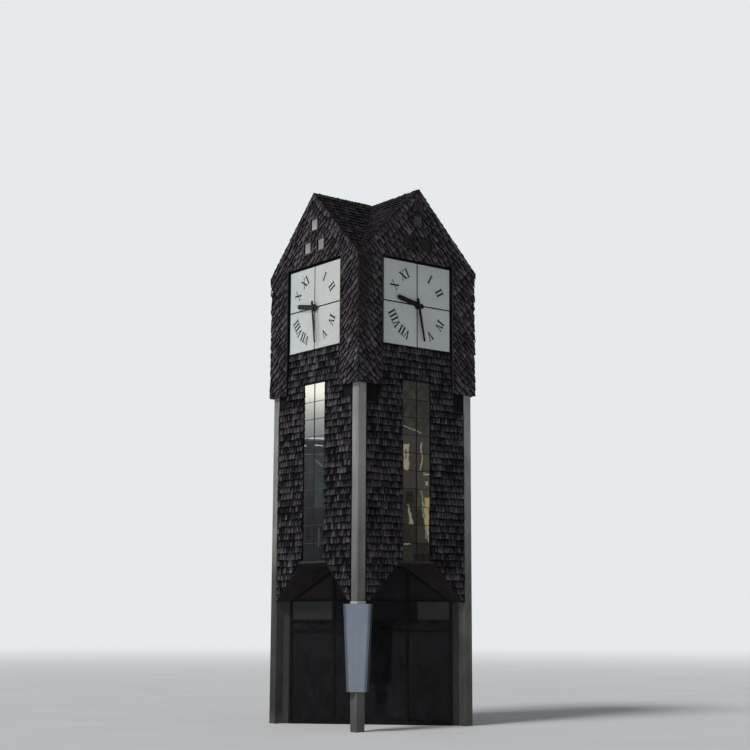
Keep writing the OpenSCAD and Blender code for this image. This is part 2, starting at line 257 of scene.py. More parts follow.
def keep(poly, plane):
    """The part of a convex polygon where n . p <= d."""
    nx, ny, d = plane
    out = []
    for p, q in zip(poly, poly[1:] + poly[:1]):
        dp, dq = nx * p[0] + ny * p[1] - d, nx * q[0] + ny * q[1] - d
        if dp <= 0:
            out.append(p)
        if dp * dq < 0:
            t = dp / (dp - dq)
            out.append((p[0] + t * (q[0] - p[0]), p[1] + t * (q[1] - p[1])))
    return out


def keep_all(poly, planes):
    for plane in planes:
        poly = keep(poly, plane)
    return poly


def size(poly):
    return abs(area(poly)) if len(poly) > 2 else 0.0


def edges_of(outline):
    """Half planes n . p <= d of a convex outline that runs anticlockwise."""
    planes = []
    for p, q in zip(outline, [*outline[1:], outline[0]]):
        ex, ey = q[0] - p[0], q[1] - p[1]
        ln = math.hypot(ex, ey)
        nx, ny = ey / ln, -ex / ln
        planes.append((nx, ny, nx * p[0] + ny * p[1]))
    return planes


def flip(plane):
    return (-plane[0], -plane[1], -plane[2])


def parts_left(poly, hole):
    """Sets of cutting planes that leave a convex polygon's parts outside a convex hole."""
    inside = poly
    for plane in hole:
        inside = keep(inside, plane)
        if size(inside) < NO_OVERLAP:
            return [[]]
    sets, done, rest = [], [], poly
    for plane in sorted(hole, key=lambda p: -size(keep(poly, flip(p)))):
        if size(keep(rest, flip(plane))) > SLIVER:
            sets.append(done + [flip(plane)])
        rest = keep(rest, plane)
        done = done + [plane]
        if size(rest) < NO_REST:
            break
    return sets


# Shingles: the face of each is a grid of points, and its rim runs once round the grid
COLS, ROWS = 4, 5
UP_THE_FACE = np.array([0.0, 0.1, 0.34, 0.66, 1.0])
GRID = np.arange(ROWS * COLS).reshape(ROWS, COLS)
RIM = np.concatenate([GRID[0], GRID[1:, -1], GRID[-1, -2::-1], GRID[-2:0:-1, 0]]).tolist()
BACK_RIM = [ROWS * COLS + i for i in range(len(RIM))]
SHINGLE_FACES = [GRID[[r, r, r + 1, r + 1], [c, c + 1, c + 1, c]].tolist()
                 for r in range(ROWS - 1) for c in range(COLS - 1)]
SHINGLE_FACES += [BACK_RIM[::-1], *zip(RIM, BACK_RIM, BACK_RIM[1:] + BACK_RIM[:1], RIM[1:] + RIM[:1])]


def shingle(rng, width, length, thick, wild, lean, tilt):
    """One cleft shingle in its own frame: a across, b from the butt to the tip, c outwards.

    It is uneven by some millimetres. The fourth column is 1 on its back and 0 on its face.
    """
    b = np.repeat(UP_THE_FACE * length, COLS)
    x = np.tile(np.linspace(-1, 1, COLS), ROWS)
    t = 1 - b / length
    a = x * width / 2 * (1 - 0.03 * rng.random() * t) + tilt * rng.uniform(-1, 1) * (b - length / 3)
    a = a + np.repeat(rng.uniform(-0.0035, 0.0035, ROWS), COLS) * np.abs(x)
    cup, twist, slant = rng.uniform(-0.004, 0.005), rng.uniform(-0.004, 0.004), rng.uniform(-0.09, 0.09)
    lift = 0.012 * rng.random() if rng.random() < wild else 0.003 * rng.random()
    side = lean * x * np.minimum(1, 2.5 * t)
    butt = BUTT * rng.uniform(0.72, 1.18)
    face = rng.uniform(-0.0012, 0.0012, len(b))
    front = TIP + (butt - TIP) * t + cup * (x * x - 0.4) * t + twist * x * t + face * t
    front = (front - 0.0025 * (b == 0) + side) * thick + lift * t
    b = b + (slant * a + rng.uniform(-0.006, 0.006, len(b))) * (b == 0)
    back = BACK * thick * t + lift * t + np.maximum(side, 0) * thick * 0.6
    front = np.maximum(front, back + 0.003 * thick)
    return np.concatenate([np.stack([a, b, front, 0 * a], 1), np.stack([a, b, back, 0 * a + 1], 1)[RIM]])


def cut_solid(co, planes):
    """Cuts a shingle with planes across its first two axes and closes it again."""
    bm = bmesh.new()
    backs = bm.verts.layers.float.new("back")
    verts = [bm.verts.new(p[:3]) for p in co]
    for v, p in zip(verts, co):
        v[backs] = p[3]
    for f in SHINGLE_FACES:
        bm.faces.new([verts[i] for i in f])
    for nx, ny, d in planes:
        bmesh.ops.bisect_plane(bm, geom=bm.verts[:] + bm.edges[:] + bm.faces[:], dist=1e-6,
                               plane_co=(nx * d, ny * d, 0), plane_no=(nx, ny, 0), clear_outer=True)
        rim = [e for e in bm.edges if e.is_boundary]
        if rim:
            bmesh.ops.holes_fill(bm, edges=rim, sides=0)
    bmesh.ops.recalc_face_normals(bm, faces=bm.faces[:])
    bm.verts.index_update()
    out = np.array([(*v.co, v[backs]) for v in bm.verts]), [[v.index for v in f.verts] for f in bm.faces]
    bm.free()
    return out


def course_joints(rng, row, first, last, width, stray, mixed):
    """Where a course has its joints: at an even pitch, give or take stray, or at mixed widths."""
    shift = row % 2 / 2
    joints = [(col + shift) * width + rng.uniform(-stray, stray) for col in range(first, last + 1)]
    if mixed:
        joints = [(first - rng.random()) * width]
        while joints[-1] < last * width:
            joints.append(joints[-1] + width * rng.uniform(1 - mixed, 1 + mixed))
    return joints


def shingles(bag, axes, base_c, angle, outer, holes, seed, width=WIDTH, course=COURSE, length=LENGTH,
             thick=1.0, origin=(0.0, 0.0), ragged=None, wild=0.0, gap=0.009, lone=False, lean=0.0,
             rise=None, stray=0.02, uneven=0.01, tilt=0.02, mixed=0.0):
    """Covers the outer outline, less the holes, with courses that rise in the angle's direction.

    ragged lets shingles stand past the outline's edges, wild is how many curl, lean lifts one side of each,
    rise lifts them by place, uneven and tilt shift and turn them. mixed is how far the widths in a course
    spread about their mean, as a part of it. A lone shingle fills each course.
    """
    rng = random.Random(seed)
    nrng = np.random.default_rng(seed)
    up = np.array([math.cos(math.radians(angle)), math.sin(math.radians(angle))])
    turn = np.stack([np.array([up[1], -up[0]]), up])
    local = (np.array(outer) - origin) @ turn.T
    first_row, last_row = math.floor(local[:, 1].min() / course) - 1, math.ceil(local[:, 1].max() / course)
    first, last = math.floor(local[:, 0].min() / width) - 1, math.ceil(local[:, 0].max() / width) + 1
    outer_planes, hole_planes = edges_of(outer), [edges_of(h) for h in holes]
    for row in range(first_row, last_row + 1):
        joints = course_joints(rng, row, first, last, width, stray, mixed)
        for left, right in ([(0, 0)] if lone else zip(joints, joints[1:])):
            a0, w = (left + right) / 2, right - left - gap * rng.uniform(0.6, 1.5)
            b0 = row * course + rng.uniform(-uneven, uneven)
            if lone:
                a0, w = local[:, 0].mean() + rng.uniform(-0.004, 0.004), width
            plan = np.array(rect(-w / 2, -0.01, w / 2, length)) + (a0, b0)
            planes = [(nx, ny, d + (ragged[k] * rng.random() if ragged else 0.0))
                      for k, (nx, ny, d) in enumerate(outer_planes)]
            seen = keep_all([tuple(p) for p in plan @ turn + origin], planes)
            shape = shingle(nrng, w, length, thick, wild, lean, tilt)
            look = (rng.random(), rng.uniform(0, 40), rng.uniform(0, 40))
            if size(seen) < LEAST_SEEN:
                continue
            flat = (shape[:, :2] + (a0, b0)) @ turn + origin
            crossed = [plane for plane in planes if (flat @ plane[:2]).max() > plane[2]]
            sets = [[]]
            for hole in hole_planes:
                sets = [s + more for s in sets for more in parts_left(keep_all(seen, s), hole)]
            for extra in sets:
                co, faces = np.column_stack([flat, shape[:, 2:]]), SHINGLE_FACES
                if crossed or extra:
                    co, faces = cut_solid(co, crossed + extra)
                    if len(faces) < 4:
                        continue
                ab = (co[:, :2] - origin) @ turn.T - (a0, b0)
                low = 0.5 + ab[:, 0] / w * (1 if lean >= 0 else -1)
                # How far up its course each point lies, set past 1 on the back and underside, where the look
                # paints shade
                course_place_for_shade = np.maximum((ab[:, 1] / course).clip(0, 1.3), co[:, 3] * 1.2)
                shade = np.column_stack([np.full(len(co), look[0]), course_place_for_shade, np.maximum(low, co[:, 3])])
                grain = np.column_stack([ab + look[1:], co[:, 2]])
                if rise:
                    co[:, 2] += [rise(u, v) for u, v in co[:, :2]]
                co[:, 2] += base_c
                bag.add(to_world(axes, co[:, :3]), faces, shade, grain)


# Materials

class Nodes:
    """A node tree under construction."""

    def __init__(self, tree):
        self.tree = tree

    def add(self, kind, inputs=(), **settings):
        node = self.tree.nodes.new(kind)
        for key, value in settings.items():
            setattr(node, key, value)
        for key, value in dict(inputs).items():
            if isinstance(value, bpy.types.NodeSocket):
                self.tree.links.new(value, node.inputs[key])
            else:
                node.inputs[key].default_value = value
        return node

    def split(self, vector):
        node = self.add("ShaderNodeSeparateXYZ", {0: vector})
        return [node.outputs[i] for i in range(3)]

    def vector(self, op, a, b=(0, 0, 0), out=0):
        return self.add("ShaderNodeVectorMath", {0: a, 1: b}, operation=op).outputs[out]

    def dot(self, a, b):
        return self.vector("DOT_PRODUCT", a, b, "Value")

    def noise(self, vector, scale, detail=4.0, rough=0.55, warp=0.0):
        """Noise at one scale, or at a scale for each axis."""
        if isinstance(scale, tuple):
            mapping = self.add("ShaderNodeMapping", {"Vector": vector, "Scale": scale})
            vector, scale = mapping.outputs[0], 1.0
        return self.add("ShaderNodeTexNoise", {"Vector": vector, "Scale": scale, "Detail": detail,
                                               "Roughness": rough, "Distortion": warp}).outputs[0]

    def calc(self, op, a, b=0.0, c=0.0, clamp=False):
        return self.add("ShaderNodeMath", {0: a, 1: b, 2: c}, operation=op, use_clamp=clamp).outputs[0]

    def chain(self, op, values, clamp):
        """One operation over several values in turn, held between 0 and 1 at its end if asked."""
        out = values[0]
        for value in values[1:-1]:
            out = self.calc(op, out, value)
        return self.calc(op, out, values[-1], clamp=clamp)

    def plus(self, *values, clamp=False):
        return self.chain("ADD", values, clamp)

    def times(self, *values, clamp=False):
        return self.chain("MULTIPLY", values, clamp)

    def most(self, *values, clamp=False):
        return self.chain("MAXIMUM", values, clamp)

    def less(self, a, b):
        return self.calc("SUBTRACT", a, b)

    def span(self, value, a, b, c=0.0, d=1.0):
        """The value, taken from the range a to b to the range c to d and held within it."""
        return self.add("ShaderNodeMapRange", {0: value, 1: a, 2: b, 3: c, 4: d}).outputs[0]

    def ramp(self, value, *stops):
        node = self.add("ShaderNodeValToRGB", {0: value})
        band = node.color_ramp.elements
        while len(band) < len(stops):
            band.new(0.5)
        for element, (at, colour) in zip(band, stops):
            element.position, element.color = at, (*colour, 1)
        return node.outputs[0]

    def mix(self, factor, a, b, how="MIX"):
        a, b = (c if isinstance(c, bpy.types.NodeSocket) else (*c, 1) for c in (a, b))
        node = self.add("ShaderNodeMix", {0: factor, 6: a, 7: b}, data_type="RGBA", blend_type=how)
        return node.outputs[2]

    def tinted(self, colour, tint, factor=1.0):
        return self.mix(factor, colour, tint, "MULTIPLY")


class Look(Nodes):
    """A node material under construction."""

    def __init__(self, name, **fixed):
        self.material = bpy.data.materials.new(name)
        self.material.use_nodes = True
        super().__init__(self.material.node_tree)
        self.shader = self.tree.nodes["Principled BSDF"]
        for key, value in fixed.items():
            self.shader.inputs[key.replace("_", " ")].default_value = value

    def place(self):
        return self.add("ShaderNodeTexCoord").outputs["Object"]

    def attribute(self, name):
        return self.add("ShaderNodeAttribute", attribute_name=name).outputs["Vector"]

    def bump(self, height, strength, distance):
        inputs = {"Height": height, "Strength": strength, "Distance": distance}
        return self.add("ShaderNodeBump", inputs).outputs[0]

    def wire(self, **sockets):
        for key, socket in sockets.items():
            self.tree.links.new(socket, self.shader.inputs[key.replace("_", " ")])
        return self.material


def shingle_look(name, dark, light, warm, lip, top, sides, top_from=0.68, side_from=0.84, shift=0.0,
                 spread=0.62, deep=0.08, lit_above=None, stained=0.0, mossy=0.0, moss=None):
    """Weathered cleft shingles: streaks along the grain, tone from piece to piece and uneven dark joints.

    lip lightens the butts. top is the painted shade under the next course, and sides the dark joints with
    painted shade, strongest along each piece's lower side, from top_from and side_from on. Backs and
    undersides are painted dark as shade too, and deep is the light left in the darkest of it. shift and
    spread move and widen the tones. lit_above is from which height to which they get lighter as painted
    light, and by what factor. stained darkens the head's front left corner, and mossy is how thick moss
    lies near the ridge.
    """
    k = Look(name, Specular_IOR_Level=0.05)
    tone, along, low = k.split(k.attribute("shade"))
    grain, place = k.attribute("grain"), k.place()
    x, y, z = k.split(place)
    hue = k.calc("FRACT", k.times(tone, 17.3))
    force = k.span(k.calc("FRACT", k.times(tone, 53.7)), 0.0, 0.6, 0.35, 1.0)
    streak = k.noise(grain, (95, 5, 5), 5.0, 0.6, 0.4)
    broad = k.noise(grain, (32, 3.5, 3.5), 3.0, 0.6, 0.3)
    blotch = k.noise(grain, (9, 6, 6), 3.0)
    fibre = k.noise(grain, (160, 7, 7), 3.0, 0.7)
    wide = k.noise(place, 1.6, 4.0, 0.6)
    region = k.noise(place, 0.9, 3.0, 0.6)

    # Lighter at the butt and darker further up each course, as painted shade under the next butt
    level = k.plus(k.times(tone, spread), k.span(wide, 0.3, 0.7, shift - 0.12, shift + 0.16),
                   k.span(along, 0.0, 0.25, lip, 0.0), k.span(along, 0.2, 1.0, 0.05, -0.15),
                   k.span(broad, 0.3, 0.7, -0.28, 0.30), k.span(streak, 0.3, 0.7, -0.18, 0.22),
                   k.span(blotch, 0.35, 0.7, -0.1, 0.12), clamp=True)
    middle = tuple((a + b) / 2.4 for a, b in zip(dark, light))
    colour = k.ramp(level, (0.0, dark), (0.5, middle), (1.0, light))
    colour = k.tinted(colour, warm, k.span(hue, 0.4, 1.0, 0.0, 0.7))
    colour = k.tinted(colour, k.mix(k.span(region, 0.36, 0.64), (1.0, 0.90, 0.965), (0.93, 0.985, 1.0)))
    # Painted light: lighter from one height up to another, by the factor given
    if lit_above:
        start, end, factor = lit_above
        colour = k.tinted(colour, k.mix(k.span(z, start, end), (1.0, 1.0, 1.0), (factor, factor, factor)))

    # Painted shade: dark at the joints and along each piece's lower side, under the next course, and on the
    # backs and undersides
    edge = k.most(k.span(low, side_from, side_from + 0.13, 0.0, sides),
                  k.span(low, 0.10, 0.02, 0.0, 0.6 * sides),
                  k.span(along, top_from, top_from + 0.25, 0.0, top))
    edge = k.most(k.times(edge, force), k.span(along, 1.0, 1.12), clamp=True)
    colour = k.tinted(colour, (deep, 0.88 * deep, deep), edge)
    if stained:
        ragged_x = k.plus(x, k.span(wide, 0.3, 0.7, 0.14, -0.14))
        wet = k.times(k.span(ragged_x, -1.52, -1.92), k.span(z, 9.9, 11.6), k.span(z, 13.6, 12.9),
                      k.span(y, -2.08, -2.10), stained)
        colour = k.mix(wet, colour, (0.040, 0.030, 0.029))
    if mossy:
        patch = k.noise(place, 7.0, 6.0, 0.7)
        amount = k.times(k.span(patch, 0.50, 0.66), k.span(z, 14.0, 15.03, 0.0, mossy), clamp=True)
        colour = k.mix(amount, colour, moss)
    return k.wire(Base_Color=colour, Roughness=k.span(streak, 0.2, 0.8, 0.75, 0.97),
                  Normal=k.bump(k.plus(streak, fibre, broad), 0.7, 0.006))


def timber_look(name, dark, light):
    """Sawn or painted boards, with the grain along each board."""
    k = Look(name, Specular_IOR_Level=0.08)
    tone, _, _ = k.split(k.attribute("shade"))
    streak = k.noise(k.attribute("grain"), (70, 2.2, 8), 5.0, 0.6, 0.3)
    dirt = k.noise(k.place(), 2.3, 5.0, 0.65)
    level = k.plus(k.times(tone, 0.35), k.span(streak, 0.25, 0.75, 0.0, 0.4),
                   k.span(dirt, 0.3, 0.75, -0.1, 0.25), clamp=True)
    return k.wire(Base_Color=k.ramp(level, (0.0, dark), (1.0, light)),
                  Roughness=k.span(streak, 0.2, 0.8, 0.7, 0.92), Normal=k.bump(streak, 0.35, 0.002))


def solid_timber_look(name, dark, light, stretch):
    """Boards of a carried-over solid, with its grain by place."""
    k = Look(name, Specular_IOR_Level=0.05)
    place = k.place()
    streak = k.noise(place, stretch, 5.0, 0.6, 0.3)
    dirt = k.noise(place, 1.7, 5.0, 0.65)
    level = k.plus(k.span(streak, 0.25, 0.75, 0.0, 0.7), k.span(dirt, 0.3, 0.75, -0.1, 0.3), clamp=True)
    return k.wire(Base_Color=k.ramp(level, (0.0, dark), (1.0, light)),
                  Roughness=k.span(streak, 0.2, 0.8, 0.75, 0.95), Normal=k.bump(streak, 0.4, 0.003))


def concrete_look():
    """Streaked columns, darker where water splashes. Painted shade makes them darker further down and just
    under the boxes, and the other three darker still below the porch's head, so the front left one is
    lightest.
    """
    k = Look("weathered_shaded_concrete", Specular_IOR_Level=0.1)
    place = k.place()
    x, y, z = k.split(place)
    fine = k.noise(place, 60.0, 4.0, 0.7)
    pits = k.noise(place, 180.0, 2.0, 0.5)
    cloud = k.noise(place, 1.6, 5.0, 0.6)
    streak = k.noise(place, (9, 9, 0.35), 5.0, 0.65)
    level = k.plus(k.span(cloud, 0.3, 0.7, 0.2, 0.7), k.span(streak, 0.3, 0.75, -0.25, 0.3),
                   k.span(fine, 0.3, 0.7, -0.08, 0.08), clamp=True)
    colour = k.ramp(level, (0.0, (0.24, 0.24, 0.225)), (0.55, (0.39, 0.39, 0.374)),
                    (1.0, (0.50, 0.50, 0.485)))
    # Painted shade: darker further down, and a little darker again just under the boxes
    shade_by_height = ((0, 0.32), (3.5, 0.50), (5, 0.64), (6, 0.72), (7, 0.84), (8.2, 0.98), (9.3, 0.88))
    colour = k.tinted(colour, k.ramp(k.times(z, 0.1), *((at / 10, (v, v, v)) for at, v in shade_by_height)))
    # Painted shade on the lower parts of the other three columns, strongest on the back left one
    others_low_shade = k.times(k.span(z, 4.9, 4.1), k.span(k.most(x, y), -1.5, -1.4))
    tint = k.mix(k.span(x, -0.5, 0.5), (0.50, 0.49, 0.49), (0.86, 0.85, 0.84))
    colour = k.tinted(colour, tint, others_low_shade)
    splash = k.times(k.span(z, 0.0, 0.45, 1.0, 0.0), k.span(cloud, 0.25, 0.6))
    return k.wire(Base_Color=k.mix(splash, colour, (0.13, 0.125, 0.11)),
                  Roughness=k.span(fine, 0.2, 0.8, 0.75, 0.95),
                  Normal=k.bump(k.plus(fine, pits), 0.25, 0.003))


def paint_look(name, base, worn, rough=0.4, spot=3.0, coat=0.0, shine=0.1, change=None):
    """Painted or coated sheet, slightly uneven and dirty. change gives its colour by place."""
    k = Look(name, Coat_Weight=coat, Specular_IOR_Level=shine)
    place = k.place()
    cloud = k.noise(place, spot, 6.0, 0.65)
    drip = k.noise(place, (14, 14, 0.8), 4.0, 0.6)
    level = k.plus(k.span(cloud, 0.4, 0.75, 0.0, 0.7), k.span(drip, 0.5, 0.8, 0.0, 0.5), clamp=True)
    colour = k.mix(level, base, worn)
    if change:
        colour = change(k, place, colour)
    return k.wire(Base_Color=colour, Roughness=k.span(cloud, 0.3, 0.8, rough, rough + 0.2),
                  Normal=k.bump(k.noise(place, 45.0, 3.0, 0.6), 0.06, 0.001))


def dial_painted_reflection(k, place, colour):
    """Painted reflection: the left and right dials are cooler towards one edge and warmer towards the other.
    """
    x, y, _ = k.split(place)
    tint = k.mix(k.span(y, -DIAL, DIAL), (1.0, 0.965, 0.90), (0.93, 0.985, 1.0))
    flank = k.span(k.less(k.calc("ABSOLUTE", x), k.calc("ABSOLUTE", y)), 0.0, 0.2)
    return k.mix(flank, colour, k.tinted(colour, tint))


def across_porch(k, x, y):
    """How far a place lies along the porch's diagonal, from the left back to the right front."""
    return k.times(k.less(x, y), math.sqrt(0.5))


def light_box_frame(k, place, colour):
    """The light box is greyer along its tapering edges and on its sides, and brighter on its collar."""
    x, y, z = k.split(place)
    half = k.span(z, SIGN_FOOT, SIGN_TOP, SIGN_FOOT_WIDTH / 2, SIGN_TOP_WIDTH / 2)
    inwards = k.less(half, k.calc("ABSOLUTE", across_porch(k, x, y)))
    colour = k.tinted(colour, k.mix(k.span(inwards, 0.050, 0.076), (0.41, 0.415, 0.46), (1.0, 1.0, 1.0)))
    return k.mix(k.span(z, SIGN_TOP, SIGN_TOP + 0.005), colour, (0.52, 0.55, 0.54))


def fascia_look():
    """Boards of the fascia, pale boards darkened as painted shade of the porch: grey over the outer bays,
    much darker over the middle one.
    """
    k = Look("fascia_boards", Roughness=0.6, Specular_IOR_Level=0.1)
    place = k.place()
    x, y, _ = k.split(place)
    along = across_porch(k, x, y)
    cloud = k.noise(place, 2.0, 6.0, 0.65)
    # Painted shade: the outer bays' grey and the much darker middle bay stand for the porch's shade on pale
    # boards
    outer = k.mix(k.span(along, -0.2, 0.2), (0.062, 0.064, 0.066), (0.060, 0.060, 0.060))
    middle = k.times(k.span(along, -1.06, -1.03), k.span(along, 1.36, 1.33))
    colour = k.tinted(k.mix(middle, outer, (0.013, 0.0135, 0.016)), (0.6, 0.6, 0.58),
                      k.span(cloud, 0.4, 0.75, 0.0, 0.5))
    return k.wire(Base_Color=colour, Normal=k.bump(k.noise(place, 45.0, 3.0, 0.6), 0.06, 0.001))


def small_frame_look():
    """Gable windows' frames: weathered grey on their faces, darker on the front and back and nearly black in
    their reveals, both as painted shade.
    """
    k = Look("gable_window_timber", Specular_IOR_Level=0.08)
    place = k.place()
    x, y = (k.calc("ABSOLUTE", value) for value in k.split(place)[:2])
    streak = k.noise(place, 22.0, 4.0, 0.6)
    face = k.mix(k.span(streak, 0.3, 0.7), (0.050, 0.044, 0.048), (0.125, 0.115, 0.120))
    # Painted shade: the frames on the front and back are darker
    face = k.tinted(face, (0.40, 0.37, 0.38), k.span(k.less(x, y), 0.2, -0.2))
    # Painted shade: nearly black off the frames' outer faces, in their reveals
    out = k.span(k.most(x, y), SMALL_FACE - 0.0025, SMALL_FACE - 0.001)
    return k.wire(Base_Color=k.mix(out, (0.006, 0.005, 0.0055), face),
                  Roughness=k.span(streak, 0.2, 0.8, 0.7, 0.9), Normal=k.bump(streak, 0.35, 0.002))


def screen_glass_look():
    """Panes of the porch screen, a little lighter and warmer under the soffits, as a painted reflection of
    them.
    """
    k = Look("panes_screen", IOR=1.22)
    place = k.place()
    x, y, z = k.split(place)
    dirt = k.noise(place, (2.2, 2.2, 1.1), 5.0, 0.7)
    low = k.mix(k.span(dirt, 0.35, 0.7), (0.0042, 0.0045, 0.0056), (0.0200, 0.0200, 0.0230))
    along = k.span(across_porch(k, x, y), -0.9, -1.3)
    # Painted reflection: above the springing the panes mirror the soffits, lighter and warmer, most at the
    # left end
    high = k.mix(along, (0.0250, 0.0225, 0.0260), (0.0440, 0.0360, 0.0340))
    return k.wire(Base_Color=k.mix(k.span(z, SPRING, SPRING + 0.06), low, high),
                  Roughness=k.span(dirt, 0.3, 0.9, 0.04, 0.14),
                  Normal=k.bump(k.noise(place, 2.6, 2.0, 0.5), 0.12, 0.02))


def glass_look(name, base, wave, rough, haze, ior, askew=0.0):
    """Panes in front of a dark inside, a little wavy. Those of a tall window are each set a little askew."""
    k = Look(name, IOR=ior)
    place = k.place()
    dirt = k.noise(place, (3, 3, 1.5), 5.0, 0.7)
    colour = k.mix(k.span(dirt, 0.4, 0.8), base, tuple(c * 3 + 0.01 for c in base))
    normal = k.bump(k.noise(place, 2.6, 2.0, 0.5), wave, 0.02)
    if askew:
        x, y, z = k.split(place)
        row = k.calc("FLOOR", k.calc("DIVIDE", k.less(z, PANE_FOOT), PANE))
        cell = k.add("ShaderNodeCombineXYZ", {0: k.calc("SIGN", x), 1: k.calc("SIGN", y), 2: row}).outputs[0]
        turn = k.add("ShaderNodeTexWhiteNoise", {"Vector": cell}).outputs["Color"]
        turn = k.vector("MULTIPLY", k.vector("SUBTRACT", turn, (0.5, 0.5, 0.5)), (askew, askew, askew))
        normal = k.vector("NORMALIZE", k.vector("ADD", normal, turn))
    return k.wire(Base_Color=colour, Roughness=k.span(dirt, 0.3, 0.9, rough, rough + haze), Normal=normal)


# The soft copies, used on the front and back, are the same shingles with weaker painted shade at the joints
# and under the courses
HEAD_TONES = dict(warm=(0.95, 0.84, 0.87), lip=0.12, top=0.40, top_from=0.63, side_from=0.76, shift=0.10,
                  spread=0.42, stained=0.95)
shaft_shingle = shingle_look(
    "shaft_shingles_grey", (0.0045, 0.0040, 0.0050), (0.212, 0.206, 0.226), (0.90, 0.81, 0.86), lip=0.14,
    top=1.0, sides=1.0, top_from=0.55, side_from=0.78, shift=-0.12, lit_above=(9.45, 9.75, 1.30))
head_shingle = shingle_look(
    "head_shingles_brown", (0.0145, 0.0130, 0.0142), (0.228, 0.208, 0.226), sides=0.92,
    lit_above=(12.6, 13.4, 1.12), **HEAD_TONES)
head_shingle_soft = shingle_look(
    "head_shingles_soft", (0.0185, 0.0168, 0.0180), (0.206, 0.190, 0.206), sides=0.85, deep=0.20,
    lit_above=(12.6, 13.4, 1.15), **HEAD_TONES)
shaft_shingle_soft = shingle_look(
    "shaft_shingles_soft", (0.0100, 0.0090, 0.0107), (0.200, 0.190, 0.213), (0.90, 0.80, 0.86), lip=0.12,
    top=0.95, sides=0.85, top_from=0.60, side_from=0.82, shift=-0.02, spread=0.42, deep=0.20)
roof_shingle = shingle_look(
    "roof_shingles_dark", (0.0026, 0.0020, 0.0029), (0.081, 0.0672, 0.091), (0.9, 0.78, 0.84), lip=0.20,
    top=1.0, sides=1.0, top_from=0.58, shift=-0.14, mossy=0.35, moss=(0.030, 0.038, 0.012))
ridge_shingle = shingle_look(
    "ridge_shingles_mossy", (0.003, 0.0027, 0.003), (0.042, 0.038, 0.040), (0.9, 0.8, 0.78), lip=0.1,
    top=0.8, sides=0.7, mossy=1.8, moss=(0.040, 0.056, 0.011))
dark_board = timber_look("boards_dark", (0.006, 0.0050, 0.0056), (0.030, 0.0255, 0.028))
patch_board = timber_look("boards_plain_dark", (0.004, 0.0031, 0.0036), (0.013, 0.010, 0.0115))
trim_board = timber_look("boards_edge", (0.012, 0.0105, 0.0115), (0.075, 0.068, 0.074))
sill_board = timber_look("boards_silver_grey", (0.022, 0.021, 0.023), (0.075, 0.071, 0.075))
under_wall = solid_timber_look("sheathing_dark", (0.004, 0.0034, 0.0038), (0.014, 0.011, 0.012), (30, 30, 2))
soffit = solid_timber_look("soffit_boards_brown", (0.0145, 0.0122, 0.0135), (0.050, 0.0415, 0.046),
                           (20, 20, 3))
deck = solid_timber_look("roof_deck_dark", (0.005, 0.004, 0.004), (0.016, 0.014, 0.014), (8, 8, 8))
window_paint = paint_look("window_frames_bronze", (0.021, 0.0185, 0.021), (0.040, 0.035, 0.038), 0.45)
# Lit and shaded copies of the same bars: the pale one paints light on the flanks, the dark brown one paints
# shade on the front and back
bar_paint_lit = paint_look("window_bars_lit", (0.050, 0.043, 0.041), (0.10, 0.090, 0.085))
bar_brown_shaded = paint_look("window_bars_brown_shaded", (0.016, 0.009, 0.006), (0.035, 0.018, 0.010), 0.45)
hand_paint = paint_look("hands_black", (0.010, 0.010, 0.010), (0.024, 0.024, 0.024))
joint_black = paint_look("dial_joint_dark", (0.012, 0.012, 0.013), (0.024, 0.024, 0.024), 0.7)
pane = glass_look("panes_tall", (0.006, 0.007, 0.0065), 0.008, rough=0.0, haze=0.02, ior=2.2, askew=0.0006)

MATERIALS = {
    "column": concrete_look(), "wall": under_wall, "box": under_wall, "gable": under_wall,
    "soffit_linings": soffit, "porch_ceiling": soffit, "roof": deck, "ridge_caps": deck,
    "window": window_paint, "tall_window_glass": pane, "gable_window_frames": small_frame_look(),
    "gable_window_glass": glass_look("panes_small", (0.0125, 0.0115, 0.0122), 0.02, rough=0.015, haze=0.03,
                                     ior=2.4),
    "dial": paint_look("dial_panels_white", (0.62, 0.66, 0.67), (0.52, 0.56, 0.575), 0.16, spot=1.2,
                       coat=0.5, shine=0.5, change=dial_painted_reflection),
    "hour_hand": hand_paint, "minute_hand": hand_paint, "screen_glass": screen_glass_look(),
    "screen_frame": paint_look("screen_frame_dark", (0.007, 0.006, 0.0065), (0.018, 0.015, 0.015), 0.5),
    "screen_boards": fascia_look(),
    "sign_box": paint_look("sign_case_white", (0.25, 0.30, 0.37), (0.19, 0.23, 0.29), 0.25, spot=1.5,
                           coat=0.4, shine=0.4, change=light_box_frame),
}
for name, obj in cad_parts.items():
    key = name if name in MATERIALS else next(k for k in MATERIALS if name.endswith("_" + k))
    obj.data.materials.clear()
    obj.data.materials.append(MATERIALS[key])


# Shingle fields

SHAFT_STYLE = dict(width=0.138, thick=1.15, gap=0.014, stray=0.034, uneven=0.014, tilt=0.03, wild=0.06)
HEAD_STYLE = dict(width=0.155, mixed=0.42, gap=0.019, uneven=0.016, tilt=0.05)
HEAD_LEAN = 0.014
ROOF_STYLE = dict(course=0.185, origin=(0.02, -0.36), wild=0.12, thick=1.2, stray=0.04, uneven=0.014,
                  tilt=0.04, gap=0.014)
RIDGE_STYLE = dict(width=0.236, course=0.13, length=0.2, thick=1.05, lone=True, wild=0.5, uneven=0.028,
                   tilt=0.05, ragged=(0, 0, -0.040, 0))
RIDGE_LAP, RIDGE_HEIGHT = 0.212, 0.034

# The bare boards beside the columns' heads, and where the head's shingles are gone
BARE_WIDTH = 0.41
BARE_FOOT = {"front": 8.75, "right": 8.92, "back": 8.75, "left": 8.92}
APEX_PATCH = (-0.15, 14.43, 0.19, 14.67)
BARE_SPOTS = {
    "front": [rect(*APEX_PATCH)],
    "left": [rect(0.13, 14.63, 0.22, 14.80), [(1.20, 13.72), (1.30, 13.67), (1.36, 13.80), (1.30, 13.83)],
             [(1.57, 13.31), (1.67, 13.30), (1.70, 13.38), (1.62, 13.40)]],
}


